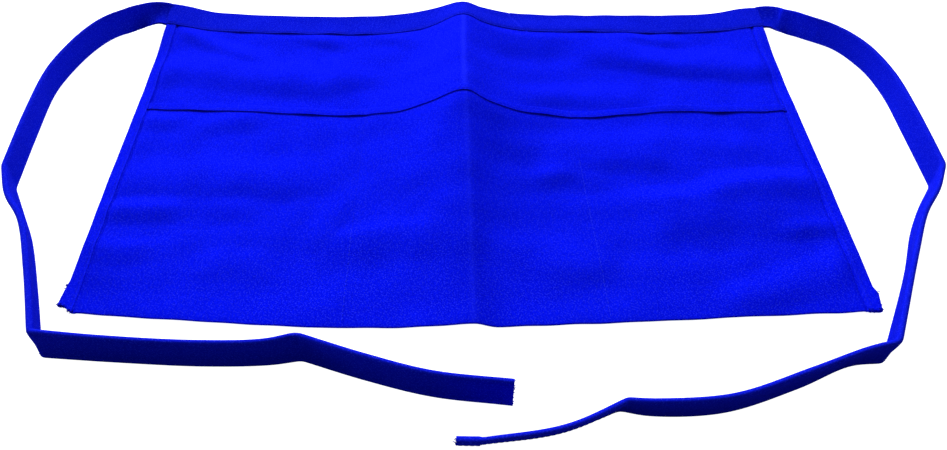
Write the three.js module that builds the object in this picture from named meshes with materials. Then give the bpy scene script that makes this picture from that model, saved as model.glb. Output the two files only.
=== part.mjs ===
// A twill waist apron lying on a table, pockets up, with its two ties laid round to the front.
// Millimetres. +Z is up and the table is z = 0. The bottom fold runs along X and the waist is towards +Y.

import * as THREE from 'three';

const { clamp, degToRad, lerp, smoothstep } = THREE.MathUtils;

// Driving dimensions
const APRON_WIDTH = 505;
const APRON_LENGTH = 313;
const POCKET_DEPTH = 190;
const MOUTH_HEM = 7;
const WAISTBAND_WIDTH = 25;
const BINDING_WIDTH = 8.5;
const TIE_THICKNESS = 1.8;
const CLOTH = 1;
const GAP = 0.4;

// How the apron lies: the waist is cut slightly off square, and the sides sit further back than the middle
const LEFT_SETBACK = 12;
const RIGHT_SETBACK = 5.5;
const WAIST_SKEW = -4.2;
const CORNER_LIFT = 3.5;
const CORNER_LIFT_START = { x: 205, y: 240 };

// The sewn dividers between the three pockets, and how far the mouth stands open between them
const DIVIDERS = { left: -78, right: 82 };
const MOUTH_GAPE = 1.2;

// The pressed crease down the middle stands up as a ridge: its height and spread at places along the apron
const CREASE = [
  { y: 0, height: 2.5, spread: 16 },
  { y: 60, height: 11, spread: 21 },
  { y: 130, height: 21, spread: 26 },
  { y: 190, height: 26, spread: 28 },
  { y: 240, height: 22.5, spread: 25 },
  { y: 288, height: 20.5, spread: 22 },
  { y: 313, height: 13.5, spread: 26 },
];
const CREASE_REACH = 2.9;

// Soft folds in the cloth, each along a straight line and falling to nothing at its reach
const FOLDS = [
  { name: 'upper left', from: [-230, 234], to: [-104, 225], reach: 22, height: 3 },
  { name: 'left corner', from: [-239, 280], to: [-186, 259], reach: 20, height: 2.5 },
  { name: 'upper right', from: [125, 267], to: [243, 241], reach: 22, height: 3 },
  { name: 'left pocket', from: [-242, 112], to: [-118, 113], reach: 22, height: 2.5 },
  { name: 'right pocket', from: [156, 109], to: [247, 101], reach: 22, height: 2.5 },
  { name: 'right corner', from: [249, 45], to: [183, 22], reach: 22, height: 2 },
  { name: 'middle right', from: [67, 135], to: [130, 172], reach: 24, height: 2 },
];

// Each tie's lower edge on the table, from just past the waistband's end to the cut end.
// lift is that edge's height, and lean is the tape's tilt from upright towards the apron, with -90 lying flat.
// width is less than the tape's own where it cups as it turns up on edge, and crease marks a sharp turn.
const LEFT_TIE = [
  { x: -262, y: 304, lift: 5, lean: -88, width: 23.5 },
  { x: -268, y: 303.6, lift: 3, lean: -60, width: 19 },
  { x: -275, y: 302.4, lift: 1, lean: -10, width: 19.5 },
  { x: -285, y: 299, lift: 0, lean: 6, width: 23.5 },
  { x: -304.5, y: 276.5, lift: 0, lean: 15, width: 25 },
  { x: -318, y: 244, lift: 0, lean: 12, width: 25 },
  { x: -323, y: 211, lift: 0, lean: 9, width: 25 },
  { x: -321, y: 168, lift: 0, lean: 8, width: 25 },
  { x: -317, y: 119, lift: 0, lean: 5, width: 25, crease: true },
  { x: -302.5, y: 94, lift: 0, lean: -2, width: 25 },
  { x: -289.5, y: 71, lift: 0, lean: 6, width: 25 },
  { x: -272.5, y: 31, lift: 0, lean: 8, width: 25 },
  { x: -254, y: -16, lift: 0, lean: 7, width: 25, crease: true },
  { x: -212, y: -20, lift: 0, lean: 6, width: 25 },
  { x: -158, y: -24, lift: 0, lean: 4, width: 25 },
  { x: -118, y: -24, lift: 0, lean: 6, width: 25 },
  { x: -100, y: -22, lift: 0, lean: 6, width: 25, crease: true },
  { x: -61, y: -36, lift: 0, lean: 4, width: 25 },
  { x: -23, y: -46, lift: 0, lean: 3, width: 25 },
  { x: 22.5, y: -53, lift: 0, lean: 4, width: 25 },
];
const RIGHT_TIE = [
  { x: 261, y: 289.4, lift: 4.6, lean: -88, width: 23 },
  { x: 266, y: 288, lift: 2.6, lean: -60, width: 18.5 },
  { x: 271, y: 285.2, lift: 0.8, lean: -10, width: 18.5 },
  { x: 280, y: 281.3, lift: 0, lean: 9, width: 23 },
  { x: 307, y: 263.5, lift: 0, lean: 19, width: 25 },
  { x: 322, y: 232, lift: 0, lean: 13, width: 25 },
  { x: 327, y: 205, lift: 0, lean: 8, width: 25 },
  { x: 328, y: 163, lift: 0, lean: 6, width: 25 },
  { x: 324, y: 107, lift: 0, lean: 2, width: 25, crease: true },
  { x: 308.5, y: 87, lift: 0, lean: -5, width: 25 },
  { x: 294.5, y: 65, lift: 0, lean: 3, width: 25 },
  { x: 278.5, y: 33, lift: 0, lean: 7, width: 25 },
  { x: 241, y: -30, lift: 0, lean: 0, width: 25, crease: true },
  { x: 221, y: -31.5, lift: 0, lean: -10, width: 25 },
  { x: 186, y: -45.5, lift: 0, lean: -4, width: 25 },
  { x: 140, y: -59.5, lift: 0, lean: -6, width: 25 },
  { x: 99, y: -60.5, lift: 0, lean: -6, width: 25 },
  { x: 82, y: -57, lift: 0, lean: -12, width: 25, crease: true },
  { x: 47, y: -70, lift: 0, lean: -17, width: 25 },
  { x: -9, y: -76, lift: 0, lean: -19, width: 25 },
];
const TIE_START = 3;

// Mesh fineness
const COLUMNS_EACH_SIDE = 19;
const BACK_ROWS = 17;
const POCKET_ROWS = 12;
const TURN_STEPS = 4;
const WRAP_ROWS = 3;
const BINDING_ROWS = 18;
const TIE_STEPS_PER_ROW = 3;
const TIE_ROWS = 2;

// Worked out from the above
const HALF_WIDTH = APRON_WIDTH / 2;
const LAYER = CLOTH + GAP;
const BINDING_INNER = HALF_WIDTH - BINDING_WIDTH;
const PANEL_EDGE = HALF_WIDTH - 2 * LAYER - GAP;
const PANEL_TOP = APRON_LENGTH - 2 * LAYER - GAP;
const WAISTBAND_NEAR = APRON_LENGTH - WAISTBAND_WIDTH;
const SEAT_RAMP = 18;
const SEAT_MARGIN = 2.5;

/** Reads one column of a table between the two rows on either side of a place. */
function readTable(table, y, column) {
  const next = Math.max(1, table.findIndex((row) => row.y >= y));
  const [before, after] = [table[next - 1], table[next]];
  const share = clamp((y - before.y) / (after.y - before.y), 0, 1);
  return lerp(before[column], after[column], share);
}

/** Share, from 0 to 1, of the way up on to the back walls of the bindings and the waistband, under the edges. */
function seatShare(x, y) {
  const bindingSeat = BINDING_INNER - SEAT_MARGIN;
  const bandSeat = WAISTBAND_NEAR - SEAT_MARGIN;
  const overBinding = smoothstep(Math.abs(x), bindingSeat - SEAT_RAMP, bindingSeat);
  return Math.max(overBinding, smoothstep(y, bandSeat - SEAT_RAMP, bandSeat));
}

/** Height of the ridge that the pressed crease makes, steepest near its crest and level past its reach. */
function creaseHeight(x, y) {
  const place = clamp(y, 0, APRON_LENGTH);
  const flank = 1 / (1 + (x / readTable(CREASE, place, 'spread')) ** 2);
  const foot = 1 / (1 + CREASE_REACH ** 2);
  return readTable(CREASE, place, 'height') * Math.max(0, (flank - foot) / (1 - foot));
}

/** Height of all the soft folds together, which die out towards the sewn edges. */
function foldHeight(x, y) {
  const here = new THREE.Vector3(x, y, 0);
  const nearest = new THREE.Vector3();
  let height = 0;
  for (const fold of FOLDS) {
    const line = new THREE.Line3(new THREE.Vector3(...fold.from, 0), new THREE.Vector3(...fold.to, 0));
    line.closestPointToPoint(here, true, nearest);
    const away = Math.min(1, nearest.distanceTo(here) / fold.reach);
    height += fold.height * (1 - away ** 2) ** 2;
  }
  return height * (1 - seatShare(x, y));
}

/** Lift of the two waist corners, where the ties begin to turn up on edge. */
function cornerHeight(x, y) {
  const outwards = smoothstep(Math.abs(x), CORNER_LIFT_START.x, HALF_WIDTH);
  return CORNER_LIFT * outwards * smoothstep(y, CORNER_LIFT_START.y, WAISTBAND_NEAR);
}

/** Carries a point of the flat apron, at a level within its layers, to where it lies on the table. */
function lay(x, y, level) {
  const setback = x < 0 ? LEFT_SETBACK : RIGHT_SETBACK;
  const bowed = y + setback * (x / HALF_WIDTH) ** 2;
  const skewed = bowed + WAIST_SKEW * (x / HALF_WIDTH) * (y / APRON_LENGTH);
  return new THREE.Vector3(x, skewed, level + creaseHeight(x, y) + foldHeight(x, y) + cornerHeight(x, y));
}

/** Share of the mouth's gape at a place across: none at the dividers and sides, all midway between them. */
function gapeShare(x) {
  const seams = [-BINDING_INNER, DIVIDERS.left, DIVIDERS.right, BINDING_INNER];
  const next = seams.findIndex((seam) => seam >= x);
  if (next < 1) return 0;
  return Math.sin((Math.PI * (x - seams[next - 1])) / (seams[next] - seams[next - 1])) ** 2;
}

/** Even steps from one value to another, both included. */
function steps(from, to, count) {
  return Array.from({ length: count + 1 }, (_, step) => lerp(from, to, step / count));
}

/**
 * Folds a flat cut of cloth. The cut is a thin box with a column of corners for each place across and a row
 * for each place along, and place() carries each corner to its folded position.
 */
function foldCloth(name, columns, rows, colour, place) {
  const across = columns.length - 1;
  const along = rows.length - 1;
  const cut = new THREE.BoxGeometry(1, 1, 1, across, along, 1);
  const corners = cut.attributes.position;
  for (let i = 0; i < corners.count; i += 1) {
    const column = columns[Math.round((corners.getX(i) + 0.5) * across)];
    const row = rows[Math.round((corners.getY(i) + 0.5) * along)];
    corners.setXYZ(i, ...place(column, row, corners.getZ(i)).toArray());
  }
  cut.computeVertexNormals();
  const material = new THREE.MeshStandardMaterial({ color: colour, roughness: 0.85, metalness: 0 });
  const mesh = new THREE.Mesh(cut, material);
  mesh.name = name;
  return mesh;
}

/** Places across the apron, closer together over the crease. */
function columnsAcross(edge) {
  const crowding = 0.5;
  const reach = BINDING_INNER - SEAT_MARGIN;
  const spaced = steps(-1, 1, 2 * COLUMNS_EACH_SIDE).map((u) => reach * (crowding * u + (1 - crowding) * u ** 3));
  return [-edge, ...spaced, edge];
}

/**
 * Rows down the panel's back, round the bottom fold, up the pocket front and over the mouth's turned hem.
 * side is the direction of the cloth's outer face at each row, in the plane of y and level.
 */
function panelRows() {
  const radius = LAYER / 2;
  const foldY = radius + CLOTH / 2;
  const mouthY = POCKET_DEPTH - radius - CLOTH / 2;
  const levels = { back: CLOTH / 2, pocket: CLOTH / 2 + LAYER, hem: CLOTH / 2 + 2 * LAYER };
  const hemEdge = BINDING_INNER - GAP;
  const turns = steps(0, Math.PI, TURN_STEPS).slice(1, -1);

  const underBand = steps(PANEL_TOP, WAISTBAND_NEAR, WRAP_ROWS).slice(0, -1);
  const back = [...underBand, ...steps(WAISTBAND_NEAR, foldY, BACK_ROWS)].map((y) => (
    { y, level: levels.back, side: [0, -1], edge: PANEL_EDGE, gape: 0 }));
  const fold = turns.map((turn) => ({
    y: foldY - radius * Math.sin(turn),
    level: levels.back + radius - radius * Math.cos(turn),
    side: [-Math.sin(turn), -Math.cos(turn)],
    edge: PANEL_EDGE,
    gape: 0,
  }));
  const pocket = steps(foldY, mouthY, POCKET_ROWS).map((y) => (
    { y, level: levels.pocket, side: [0, 1], edge: PANEL_EDGE, gape: (y / POCKET_DEPTH) ** 2 }));
  const mouth = turns.map((turn) => ({
    y: mouthY + radius * Math.sin(turn),
    level: levels.pocket + radius - radius * Math.cos(turn),
    side: [-Math.sin(turn), Math.cos(turn)],
    edge: hemEdge,
    gape: 1,
  }));
  const hem = [mouthY, POCKET_DEPTH - MOUTH_HEM].map((y) => (
    { y, level: levels.hem, side: [0, -1], edge: hemEdge, gape: (y / POCKET_DEPTH) ** 2 }));
  return [...back, ...fold, ...pocket, ...mouth, ...hem];
}

/** The panel: back, pocket front and mouth hem in one folded piece. */
function apronPanel() {
  return foldCloth('apron_panel', columnsAcross(PANEL_EDGE), panelRows(), 0x1420f0, (column, row, face) => {
    const x = clamp(column, -row.edge, row.edge);
    const y = row.y + row.side[0] * face * CLOTH;
    const stack = row.level + row.side[1] * face * CLOTH;
    return lay(x, y, stack + LAYER * seatShare(column, y) + MOUTH_GAPE * row.gape * gapeShare(x));
  });
}

/** Rows round a strip wrapped over an edge: under it, round a half turn, and back over it. */
function wrapRows() {
  const straight = steps(0, 1, WRAP_ROWS).slice(0, -1);
  const under = straight.map((out) => ({ out, turn: 0 }));
  const round = steps(0, Math.PI, TURN_STEPS).map((turn) => ({ out: 1, turn }));
  const over = straight.toReversed().map((out) => ({ out, turn: Math.PI }));
  return [...under, ...round, ...over];
}

/** A corner of a wrapped strip: how far out it reaches, and its level, for a stack of layers inside it. */
function wrapCorner(inner, outer, layersInside, row, face) {
  const radius = (LAYER * (layersInside + 1)) / 2;
  const centre = outer - CLOTH / 2 - radius;
  const around = radius + face * CLOTH;
  return {
    reach: lerp(inner, centre, row.out) + around * Math.sin(row.turn),
    level: CLOTH / 2 + radius - around * Math.cos(row.turn),
  };
}

/** The waistband: tape folded over the panel's top edge, from one side of the apron to the other. */
function waistband() {
  const columns = columnsAcross(HALF_WIDTH).toReversed();
  return foldCloth('waistband', columns, wrapRows(), 0x1a28f2, (x, row, face) => {
    const corner = wrapCorner(WAISTBAND_NEAR, APRON_LENGTH, 1, row, face);
    return lay(x, corner.reach, corner.level);
  });
}

/** A side binding: a strip folded over the side edge of both pocket layers, and of the one layer above them. */
function sideBinding(name, sign) {
  const stepDown = [POCKET_DEPTH + GAP, POCKET_DEPTH + 2 * MOUTH_HEM];
  const upwards = steps(0, WAISTBAND_NEAR - GAP, BINDING_ROWS);
  const columns = sign > 0 ? upwards : upwards.toReversed();
  return foldCloth(name, columns, wrapRows(), 0x1a26f4, (y, row, face) => {
    const layersInside = 2 - smoothstep(y, ...stepDown);
    const corner = wrapCorner(BINDING_INNER, HALF_WIDTH, layersInside, row, face);
    return lay(sign * corner.reach, y, corner.level);
  });
}

/** The waistband's end as the first two rows of a tie: flat, square to the band and level with its middle. */
function tieStart(sign) {
  const end = lay(sign * HALF_WIDTH, WAISTBAND_NEAR, 0);
  const bandThickness = 3 * CLOTH + 2 * GAP;
  const lift = end.z + (bandThickness - TIE_THICKNESS) / 2;
  return [GAP, TIE_START].map((past) => (
    { x: end.x + sign * past, y: end.y, lift, lean: -90, width: WAISTBAND_WIDTH }));
}

/** Sections along a tie's route: smooth between creases, with one shared section at each crease. */
function tieSections(rows) {
  const sections = [];
  const ends = rows.flatMap((row, index) => (row.crease || index === rows.length - 1 ? [index] : []));
  let start = 0;
  for (const end of ends) {
    const stretch = rows.slice(start, end + 1);
    const route = new THREE.CatmullRomCurve3(stretch.map((row) => new THREE.Vector3(row.x, row.y, row.lift)));
    const count = (stretch.length - 1) * TIE_STEPS_PER_ROW;
    steps(0, 1, count).forEach((t, step) => {
      const along = route.getTangent(t).setZ(0).normalize();
      const last = sections.at(-1);
      if (step === 0 && last) {
        last.along.add(along).normalize();
        return;
      }
      const index = Math.min(stretch.length - 2, Math.floor(step / TIE_STEPS_PER_ROW));
      const [before, after] = [stretch[index], stretch[index + 1]];
      const share = step / TIE_STEPS_PER_ROW - index;
      const foot = route.getPoint(t);
      foot.z = Math.max(0, foot.z);
      const lean = degToRad(lerp(before.lean, after.lean, share));
      sections.push({ foot, along, lean, width: lerp(before.width, after.width, share) });
    });
    start = end;
  }
  return sections;
}

/** A tie: a flat tape standing on its lower edge. sign is -1 for the left side of the apron and 1 for the right. */
function tie(name, rows, sign) {
  const upright = new THREE.Vector3(0, 0, 1);
  const sections = tieSections([...tieStart(sign), ...rows]);
  return foldCloth(name, sections, steps(0, 1, TIE_ROWS), 0x1018d8, (section, share, face) => {
    const toApron = section.along.clone().cross(upright).multiplyScalar(sign);
    const rise = upright.clone().multiplyScalar(Math.cos(section.lean));
    rise.addScaledVector(toApron, Math.sin(section.lean));
    const outwards = section.along.clone().cross(rise);
    const corner = section.foot.clone().addScaledVector(rise, share * section.width);
    corner.addScaledVector(outwards, face * TIE_THICKNESS);
    corner.z += (Math.abs(outwards.z) * TIE_THICKNESS) / 2;
    return corner;
  });
}

const apron = new THREE.Group();
apron.name = 'waist_apron';
apron.add(
  apronPanel(),
  waistband(),
  tie('tie_left', LEFT_TIE, -1),
  tie('tie_right', RIGHT_TIE, 1),
  sideBinding('side_binding_left', -1),
  sideBinding('side_binding_right', 1),
);

// The origin is under the middle of the whole apron, on the table
const bounds = new THREE.Box3().setFromObject(apron, true);
const middle = bounds.getCenter(new THREE.Vector3());
apron.position.set(-middle.x, -middle.y, -bounds.min.z);

export default apron;
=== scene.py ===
# %% [markdown]
# # A royal blue waist apron
#
# The real apron is one cut of twill folded up at the bottom to make a row of pockets. Narrow strips bind
# its sides, and one long tape is folded over the waist and runs on as the two ties. It lies on a white
# surface with its pockets up. Each cloth piece starts here as a flat grid, as it would on a cutting
# table, and is then folded and laid by moving its vertices. That keeps every fold tied to a size that a
# sewer would know.

# %% Load the fixed frame
import math
import random

import bpy
import numpy as np
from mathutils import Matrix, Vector


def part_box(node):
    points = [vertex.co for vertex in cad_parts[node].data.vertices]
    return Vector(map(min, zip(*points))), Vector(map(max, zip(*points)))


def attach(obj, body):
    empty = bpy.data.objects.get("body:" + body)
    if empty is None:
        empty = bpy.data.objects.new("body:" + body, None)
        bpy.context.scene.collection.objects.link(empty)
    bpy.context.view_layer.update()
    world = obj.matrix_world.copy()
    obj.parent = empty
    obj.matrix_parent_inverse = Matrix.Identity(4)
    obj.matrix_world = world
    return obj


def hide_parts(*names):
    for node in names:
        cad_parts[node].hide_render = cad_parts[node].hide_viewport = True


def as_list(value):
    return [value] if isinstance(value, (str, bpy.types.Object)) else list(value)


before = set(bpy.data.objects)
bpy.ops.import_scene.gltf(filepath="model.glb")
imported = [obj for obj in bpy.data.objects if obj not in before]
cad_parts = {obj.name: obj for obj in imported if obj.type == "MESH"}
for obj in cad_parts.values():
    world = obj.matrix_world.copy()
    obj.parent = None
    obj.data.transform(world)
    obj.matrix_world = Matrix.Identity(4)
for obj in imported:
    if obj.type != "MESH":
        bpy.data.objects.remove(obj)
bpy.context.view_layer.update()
bpy.ops.object.select_all(action="DESELECT")
print("frame nodes:", sorted(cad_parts))

# %% [markdown]
# ## Sizes
#
# Lengths below are millimetres of the apron itself: x is across from its middle line, y is up from the
# bottom fold towards the waist, and z is up from the table. Only the table, the lights and the camera's
# nearest distance are in metres of the shared frame. The frame gives the apron's width and where its
# middle and its bottom fold are, so nothing has to be fitted afterwards.

# %% Driving sizes
MM = 0.001
BAND_LOW, BAND_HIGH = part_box("waistband")
PANEL_LOW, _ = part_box("apron_panel")
MIDDLE_X = (BAND_LOW.x + BAND_HIGH.x) / 2 / MM
FOLD_Y = PANEL_LOW.y / MM
HALF_WIDTH = (BAND_HIGH.x - BAND_LOW.x) / 2 / MM

APRON_LENGTH = 314.0
POCKET_DEPTH = 191.0
MOUTH_HEM = 7.0
TAPE_WIDTH = 25.0
BINDING_WIDTH = 8.5
CLOTH = 0.55
GAP = 0.35
LAYER = CLOTH + GAP
BAND_NEAR = APRON_LENGTH - TAPE_WIDTH
BINDING_INNER = HALF_WIDTH - BINDING_WIDTH
PANEL_EDGE = HALF_WIDTH - 2 * LAYER
PANEL_TOP = APRON_LENGTH - 2 * LAYER


def to_frame(points):
    """Apron millimetres to metres in the shared frame."""
    return (np.asarray(points, float) + (MIDDLE_X, FOLD_Y, 0.0)) * MM


print(f"apron {2 * HALF_WIDTH:.0f} mm wide, middle at x {MIDDLE_X:.1f} mm, bottom fold at y {FOLD_Y:.1f} mm")

# %% [markdown]
# ## The camera, the table and the light
#
# The camera stands in front of the bottom fold and looks down at about fifty degrees. The lens is short,
# so the far edge looks much narrower than the near one. The camera sees the table and the sky as plain
# white, as in a cut-out catalogue picture. To the cloth the table is grey: it throws some light back,
# holds the shadows under the ties, and glows behind the apron, less and less towards the camera. One wide
# soft light hangs behind the apron: cloth that tilts away from the camera is bright, and the faces of the
# ties that point at the camera are nearly navy. Two weaker soft lights stand low at the sides and lift
# the flanks of the crease.

# %% Camera
CAMERA_PLACE = (-4.156, -260.574, 404.061)
CAMERA_PITCH = 49.893
CAMERA_YAW = 1.2236
CAMERA_LENS = 29.81
CAMERA_SENSOR = 36.0
CAMERA_NEAREST = 0.01

bpy.ops.object.camera_add(location=to_frame(CAMERA_PLACE))
camera = bpy.context.active_object
camera.rotation_euler = (math.radians(90 - CAMERA_PITCH), 0.0, math.radians(-CAMERA_YAW))
camera.data.lens = CAMERA_LENS
camera.data.sensor_width = CAMERA_SENSOR
camera.data.clip_start = CAMERA_NEAREST
bpy.context.scene.camera = camera
print("camera at", [round(value, 3) for value in camera.location])

# %% Table
TABLE_SIZE = 12.0
TABLE_DROP = 0.0003
TABLE_WHITE = 1.0
TABLE_GREY = (0.46, 0.46, 0.46, 1.0)
PLAIN_WHITE = (1.0, 1.0, 1.0, 1.0)
TABLE_SURFACE = {"Base Color": TABLE_GREY, "Roughness": 0.9, "Specular IOR Level": 0.0}
TABLE_GLOW = {"front": 0.02, "back": 0.64}
GLOW_FADES = {"from_y": 0.06, "to_y": -0.12}


def set_inputs(node, values):
    """Puts constants on a node's sockets."""
    for socket, value in values.items():
        node.inputs[socket].default_value = value


def new_material(name, surface):
    """A material whose shader has a few constants set, with its nodes, its links and that shader."""
    material = bpy.data.materials.new(name)
    material.use_nodes = True
    nodes, links = material.node_tree.nodes, material.node_tree.links
    shader = nodes["Principled BSDF"]
    set_inputs(shader, surface)
    return material, nodes, links, shader


bpy.ops.mesh.primitive_plane_add(size=TABLE_SIZE, location=(0.0, 0.0, -TABLE_DROP))
table = bpy.context.active_object
table.name = "light_table"
white, table_nodes, table_links, table_shader = new_material("white_light_table", TABLE_SURFACE)
table_shader.inputs["Emission Color"].default_value = PLAIN_WHITE
table_place = table_nodes.new("ShaderNodeTexCoord")
table_axes = table_nodes.new("ShaderNodeSeparateXYZ")
table_links.new(table_place.outputs["Object"], table_axes.inputs["Vector"])
glow = table_nodes.new("ShaderNodeMapRange")
set_inputs(glow, {"From Min": GLOW_FADES["to_y"], "From Max": GLOW_FADES["from_y"]})
set_inputs(glow, {"To Min": TABLE_GLOW["front"], "To Max": TABLE_GLOW["back"]})
table_links.new(table_axes.outputs["Y"], glow.inputs["Value"])
seen = table_nodes.new("ShaderNodeLightPath")
brightness = table_nodes.new("ShaderNodeMix")
brightness.inputs["B"].default_value = TABLE_WHITE
table_links.new(seen.outputs["Is Camera Ray"], brightness.inputs["Factor"])
table_links.new(glow.outputs["Result"], brightness.inputs["A"])
table_links.new(brightness.outputs["Result"], table_shader.inputs["Emission Strength"])
table.data.materials.append(white)
print("table", TABLE_SIZE, "m square, white to the camera, its glow fading from y", GLOW_FADES["from_y"], "m")

# %% Light
SKY_LIGHT = 0.2
SKY_WHITE = 1.0
SOFTBOXES = [
    {"name": "back_softbox", "place": (-0.28, 1.95, 1.25), "size": (2.9, 1.1), "power": 123.0},
    {"name": "left_softbox", "place": (-3.0, 0.8, 1.0), "size": (1.6, 0.9), "power": 66.0},
    {"name": "right_softbox", "place": (3.0, 0.8, 1.0), "size": (1.6, 0.9), "power": 32.0},
]

world = bpy.data.worlds.new("studio")
bpy.context.scene.world = world
world.use_nodes = True
backdrop = world.node_tree.nodes["Background"]
backdrop.inputs["Color"].default_value = PLAIN_WHITE
camera_ray = world.node_tree.nodes.new("ShaderNodeLightPath")
strength = world.node_tree.nodes.new("ShaderNodeMapRange")
set_inputs(strength, {"To Min": SKY_LIGHT, "To Max": SKY_WHITE})
world.node_tree.links.new(camera_ray.outputs["Is Camera Ray"], strength.inputs["Value"])
world.node_tree.links.new(strength.outputs["Result"], backdrop.inputs["Strength"])

for box in SOFTBOXES:
    bpy.ops.object.light_add(type="AREA", location=box["place"])
    lamp = bpy.context.active_object
    lamp.name = box["name"]
    lamp.data.shape = "RECTANGLE"
    lamp.data.size, lamp.data.size_y = box["size"]
    lamp.data.energy = box["power"]
    lamp.rotation_euler = Vector(box["place"]).to_track_quat("Z", "Y").to_euler()

bpy.context.scene.view_settings.view_transform = "Standard"
print("softboxes:", [box["name"] for box in SOFTBOXES])

# %% [markdown]
# ## How the cloth lies
#
# The apron has been folded in half for storage, so a pressed crease stands up along its middle. Soft
# folds run in from the sides, each with its own reach on its far side and on its near side, and the waist
# corners lift a little where the ties turn up on edge. Each of these is a height over the table, written
# as a formula, and all the cloth pieces share the sum. The waist also sags, and the pocket mouth and the
# bottom fold wander by a few millimetres. A layer of cloth adds only its own level, so the layers never
# cross.

# %% The pressed crease
CREASE = {
    "y": [0, 60, 130, 190, 240, 288, 313],
    "height": [1.4, 9.0, 17.0, 24.6, 21.0, 19.0, 10.0],
    "left": [30, 40, 36, 32, 27, 23, 26],
    "right": [9, 10, 15, 27, 24, 22, 28],
    "middle": [1.7, 1.2, 0.2, -0.8, -1.4, -0.8, -0.6],
}
CREASE_REACH = 2.9
CREASE_BLUR = (-14, -7, 0, 7, 14)
PRESSED_EDGE = {"height": 2.2, "left": (0.0, 60.0), "right": (1.0, 15.0)}


def smoothstep(value, low, high):
    """0 up to low, 1 from high on, and a smooth rise between."""
    share = np.clip((np.asarray(value, float) - low) / (high - low), 0.0, 1.0)
    return share * share * (3 - 2 * share)


def bell(distance, half_width):
    """1 at no distance, falling smoothly away to both sides."""
    return np.exp(-((distance / half_width) ** 2))


def blurred(at, places, values, steps):
    """Values set at a few places, read at other places and averaged over steps to take out the kinks."""
    return sum(np.interp(at + step, places, values) for step in steps) / len(steps)


def crease_column(y, column):
    """One column of the crease table at a height up the apron."""
    return blurred(y, CREASE["y"], CREASE[column], CREASE_BLUR)


def crease_height(x, y):
    """The ridge along the middle, with the edge that pressing leaves on its crest, sharpest on the right."""
    past = x - crease_column(y, "middle")
    away = np.abs(past)
    spread_out = np.where(past < 0, crease_column(y, "left"), crease_column(y, "right"))
    flank = 1 / (1 + (away / spread_out) ** 2)
    foot = 1 / (1 + CREASE_REACH**2)
    ridge = crease_column(y, "height") * np.maximum(0.0, (flank - foot) / (1 - foot))
    left_edge = 1 - smoothstep(away, *PRESSED_EDGE["left"])
    right_edge = 1 - smoothstep(away, *PRESSED_EDGE["right"])
    return ridge + PRESSED_EDGE["height"] * np.where(past < 0, left_edge, right_edge)


print("crease", max(CREASE["height"]), "mm high at the pocket mouth")

# %% Soft folds and ripples
# Each fold has its height, its reach on the far side and on the near side, and points along its crest.
FOLDS = [
    (3.3, 36, 22, [(-290, 224), (-209, 230), (-145, 223), (-116, 222), (-64, 241)]),
    (2.2, 14, 12, [(-252, 290), (-210, 270), (-182, 258), (-150, 250)]),
    (1.7, 12, 10, [(-148, 290), (-116, 278), (-84, 266)]),
    (1.7, 14, 12, [(-88, 291), (-55, 279), (-15, 262)]),
    (1.6, 10, 14, [(-275, 173), (-224, 172), (-196, 181)]),
    (1.3, 12, 14, [(-218, 158), (-181, 172), (-142, 179)]),
    (2.1, 34, 17, [(-290, 105), (-209, 111), (-164, 114), (-127, 112), (-90, 121)]),
    (2.2, 12, 15, [(-280, 80), (-224, 86), (-182, 90)]),
    (1.2, 14, 14, [(-187, 85), (-159, 89), (-127, 89)]),
    (1.9, 12, 16, [(-280, 50), (-224, 50), (-188, 56)]),
    (1.5, 14, 18, [(-190, 39), (-155, 46), (-119, 45)]),
    (1.8, 16, 12, [(-112, 50), (-93, 80), (-80, 115)]),
    (1.5, 14, 26, [(-112, 57), (-75, 66), (-46, 70), (-5, 68)]),
    (3.6, 30, 18, [(85, 264), (137, 253), (164, 243), (206, 238), (285, 229)]),
    (3.4, 18, 40, [(0, 286), (65, 290), (125, 291), (160, 289)]),
    (1.7, 10, 10, [(121, 287), (156, 278), (196, 271)]),
    (2.0, 22, 14, [(26, 197), (80, 206), (106, 203), (154, 204)]),
    (2.3, 40, 18, [(37, 119), (85, 139), (117, 140), (163, 133)]),
    (1.5, 20, 16, [(145, 146), (186, 149), (229, 144)]),
    (2.4, 16, 22, [(150, 108), (203, 112), (285, 102)]),
    (4.0, 20, 52, [(106, 92), (150, 92), (195, 104), (245, 106)]),
    (1.6, 10, 10, [(193, 63), (226, 66), (275, 68)]),
    (2.0, 18, 20, [(143, 0), (189, 19), (214, 27), (285, 52)]),
    (1.7, 22, 20, [(5, 51), (50, 49), (102, 43)]),
    (1.4, 10, 16, [(24, 119), (68, 120), (112, 116)]),
]
FOLD_ENDS = 32.0
RIPPLES = {"seed": 7, "count": 16, "shortest": 26, "longest": 75, "height": 0.5, "level": 0.7}


def along_crest(x, y, crest):
    """Distance from a crest line, the side of it (more than 0 on the far side), and how far its ends are."""
    nearest = np.full(np.shape(x), np.inf)
    side = np.zeros(np.shape(x))
    run = np.zeros(np.shape(x))
    passed = 0.0
    for start, end in zip(crest, crest[1:]):
        across, up = end[0] - start[0], end[1] - start[1]
        length = math.hypot(across, up)
        right, back = x - start[0], y - start[1]
        part = np.clip((right * across + back * up) / length**2, 0.0, 1.0)
        away = np.hypot(right - part * across, back - part * up)
        closer = away < nearest
        side = np.where(closer, back * across - right * up, side)
        run = np.where(closer, passed + part * length, run)
        nearest = np.where(closer, away, nearest)
        passed += length
    return nearest, side, np.minimum(run, passed - run)


def ripple_waves():
    """A few seeded waves with a length, a direction and a start."""
    dice = random.Random(RIPPLES["seed"])
    for _ in range(RIPPLES["count"]):
        length = dice.uniform(RIPPLES["shortest"], RIPPLES["longest"])
        yield 2 * math.pi / length, dice.uniform(0, math.pi), dice.uniform(0, 2 * math.pi)


RIPPLE_WAVES = list(ripple_waves())


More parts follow.
